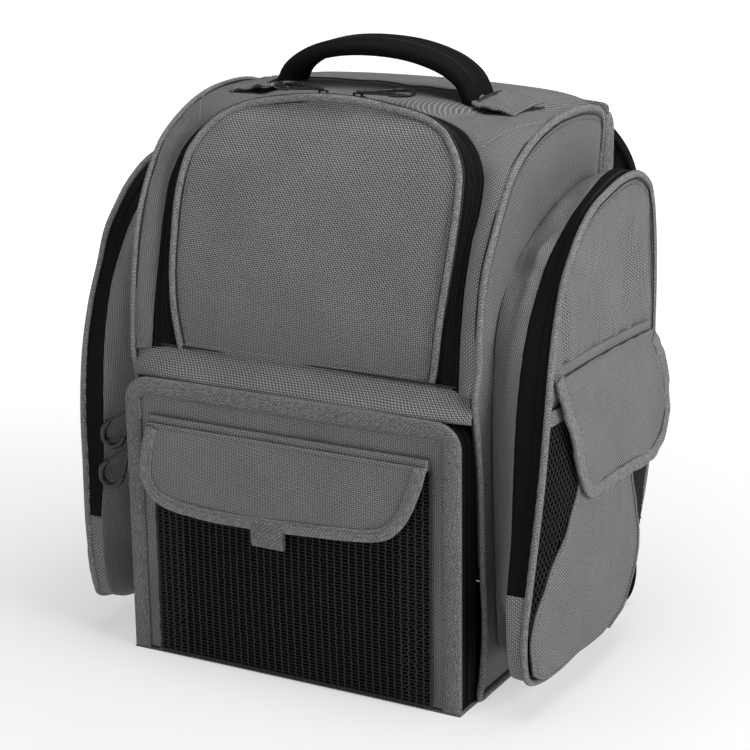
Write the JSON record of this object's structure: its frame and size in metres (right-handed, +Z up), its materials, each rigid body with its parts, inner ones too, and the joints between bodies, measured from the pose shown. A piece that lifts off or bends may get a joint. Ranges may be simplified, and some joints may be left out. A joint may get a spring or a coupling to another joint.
{
  "type": "tackle backpack",
  "caption": "Upright fishing tackle backpack with a hinged lower door, arched upper lid, side pockets with bottle sleeves, carry handle and padded straps.",
  "frame": {"origin": "on the floor under the bag, on its centre plane, 120 mm behind the lower door", "axes": "+Z up, -Y out of the front door, +X to the viewer's right when facing the front"},
  "size_m": [0.442, 0.3244, 0.515],
  "materials": {
    "twill": "mid-grey woven polyester twill, slight sheen",
    "grosgrain": "lighter grey ribbed grosgrain binding",
    "zip_tape": "matt black zip tape with coil",
    "netting": "black knitted netting",
    "webbing": "black webbing, stitched edges",
    "spacer_mesh": "black spacer mesh over foam",
    "lining": "plain dark grey lining",
    "moulded_black": "satin black moulded plastic and cord"
  },
  "bodies": {
    "pack": {"side_panel_left": "twill", "side_panel_right": "twill", "front_top_shell": "twill", "arch_zip_tape_fixed": "zip_tape", "front_seam_band": "twill", "divider_shelf": "lining", "back_panel": "twill", "base_panel": "lining", "body_piping_left": "grosgrain", "body_piping_right": "grosgrain", "door_zip_tape_fixed": "zip_tape", "handle_anchor_left": "twill", "handle_anchor_right": "twill", "back_pad": "spacer_mesh", "pocket_gusset_left": "twill", "pocket_gusset_right": "twill", "pocket_zip_tape_fixed_left": "zip_tape", "pocket_zip_tape_fixed_right": "zip_tape", "strap_webbing_left": "webbing", "strap_webbing_right": "webbing"},
    "lower_door": {"door_panel": "twill", "door_binding": "grosgrain", "door_zip_tape_moving": "zip_tape", "door_net_pocket": "netting", "flap_welt": "grosgrain"},
    "front_flap": {"flap_panel": "twill", "flap_binding": "grosgrain", "flap_tab": "twill"},
    "arched_lid": {"lid_panel": "twill", "lid_piping": "grosgrain", "lid_zip_tape": "zip_tape"},
    "handle": {"carry_handle": "webbing"},
    "side_pocket_left": {"pocket_panel_left": "twill", "pocket_piping_left": "grosgrain", "pocket_zip_tape_moving_left": "zip_tape", "bottle_pocket_panel_left": "twill", "bottle_pocket_net_left": "netting"},
    "side_flap_left": {"side_flap_panel_left": "twill", "side_flap_binding_left": "grosgrain"},
    "shoulder_strap_left": {"strap_pad_left": "spacer_mesh", "ladder_lock_left": "moulded_black"},
    "arch_slider_body_left": {"arch_slider_left": "moulded_black"},
    "arch_pull_body_left": {"arch_pull_left": "moulded_black"},
    "pocket_slider_body_left": {"pocket_slider_left": "moulded_black"},
    "side_pocket_right": {"pocket_panel_right": "twill", "pocket_piping_right": "grosgrain", "pocket_zip_tape_moving_right": "zip_tape", "bottle_pocket_panel_right": "twill", "bottle_pocket_net_right": "netting"},
    "side_flap_right": {"side_flap_panel_right": "twill", "side_flap_binding_right": "grosgrain"},
    "shoulder_strap_right": {"strap_pad_right": "spacer_mesh", "ladder_lock_right": "moulded_black"},
    "arch_slider_body_right": {"arch_slider_right": "moulded_black"},
    "arch_pull_body_right": {"arch_pull_right": "moulded_black"},
    "pocket_slider_body_right": {"pocket_slider_right": "moulded_black"},
    "door_slider_body_upper": {"door_slider_upper": "moulded_black"},
    "door_pull_body_upper": {"door_pull_upper": "moulded_black"},
    "door_slider_body_lower": {"door_slider_lower": "moulded_black"},
    "door_pull_body_lower": {"door_pull_lower": "moulded_black"}
  },
  "joints": [
    {"name": "lower_door_hinge", "type": "hinge", "parent": "pack", "child": "lower_door", "pos_m": [0, -0.123, 0.0026], "axis": [1, 0, 0], "range_deg": [0, 85]},
    {"name": "front_flap_hinge", "type": "hinge", "parent": "lower_door", "child": "front_flap", "pos_m": [0, -0.131, 0.206], "axis": [-1, 0, 0], "range_deg": [0, 165]},
    {"name": "arched_lid_hinge", "type": "hinge", "parent": "pack", "child": "arched_lid", "pos_m": [0, -0.0935, 0.2706], "axis": [1, 0, 0], "range_deg": [0, 105]},
    {"name": "handle_hinge", "type": "hinge", "parent": "pack", "child": "handle", "pos_m": [0, 0.042, 0.464], "axis": [1, 0, 0], "range_deg": [-20, 20], "stiffness_Nm_per_rad": 0.6},
    {"name": "side_pocket_hinge_left", "type": "hinge", "parent": "pack", "child": "side_pocket_left", "pos_m": [-0.2001, 0, 0.0155], "axis": [0, -1, 0], "range_deg": [0, 30]},
    {"name": "side_flap_hinge_left", "type": "hinge", "parent": "side_pocket_left", "child": "side_flap_left", "pos_m": [-0.2212, 0, 0.2762], "axis": [0, 1, 0], "range_deg": [0, 150]},
    {"name": "shoulder_strap_hinge_left", "type": "hinge", "parent": "pack", "child": "shoulder_strap_left", "pos_m": [-0.102, 0.142, 0.436], "axis": [1, 0, 0], "range_deg": [0, 25]},
    {"name": "arch_slider_slide_left", "type": "slide", "parent": "pack", "child": "arch_slider_body_left", "axis": [-1, 0, 0], "range_m": [0, 0.045]},
    {"name": "arch_pull_hinge_left", "type": "hinge", "parent": "arch_slider_body_left", "child": "arch_pull_body_left", "pos_m": [-0.016, -0.031, 0.4807], "axis": [0.2079, 0.9781, 0], "range_deg": [0, 150]},
    {"name": "pocket_slider_slide_left", "type": "slide", "parent": "pack", "child": "pocket_slider_body_left", "axis": [0, 0.1318, 0.9913], "range_m": [0, 0.12]},
    {"name": "side_pocket_hinge_right", "type": "hinge", "parent": "pack", "child": "side_pocket_right", "pos_m": [0.2001, 0, 0.0155], "axis": [0, 1, 0], "range_deg": [0, 30]},
    {"name": "side_flap_hinge_right", "type": "hinge", "parent": "side_pocket_right", "child": "side_flap_right", "pos_m": [0.2212, 0, 0.2762], "axis": [0, -1, 0], "range_deg": [0, 150]},
    {"name": "shoulder_strap_hinge_right", "type": "hinge", "parent": "pack", "child": "shoulder_strap_right", "pos_m": [0.102, 0.142, 0.436], "axis": [1, 0, 0], "range_deg": [0, 25]},
    {"name": "arch_slider_slide_right", "type": "slide", "parent": "pack", "child": "arch_slider_body_right", "axis": [1, 0, 0], "range_m": [0, 0.045]},
    {"name": "arch_pull_hinge_right", "type": "hinge", "parent": "arch_slider_body_right", "child": "arch_pull_body_right", "pos_m": [0.016, -0.031, 0.4807], "axis": [0.2079, -0.9781, 0], "range_deg": [0, 150]},
    {"name": "pocket_slider_slide_right", "type": "slide", "parent": "pack", "child": "pocket_slider_body_right", "axis": [0, 0.1318, 0.9913], "range_m": [0, 0.12]},
    {"name": "door_slider_slide_upper", "type": "slide", "parent": "pack", "child": "door_slider_body_upper", "axis": [0, 0, 1], "range_m": [0, 0.01]},
    {"name": "door_pull_hinge_upper", "type": "hinge", "parent": "door_slider_body_upper", "child": "door_pull_body_upper", "pos_m": [-0.1592, -0.1046, 0.212], "axis": [0, 1, 0], "range_deg": [-15, 25]},
    {"name": "door_slider_slide_lower", "type": "slide", "parent": "pack", "child": "door_slider_body_lower", "axis": [0, 0, -1], "range_m": [0, 0.12]},
    {"name": "door_pull_hinge_lower", "type": "hinge", "parent": "door_slider_body_lower", "child": "door_pull_body_lower", "pos_m": [-0.1592, -0.11, 0.178], "axis": [0, 1, 0], "range_deg": [-15, 25]}
  ]
}
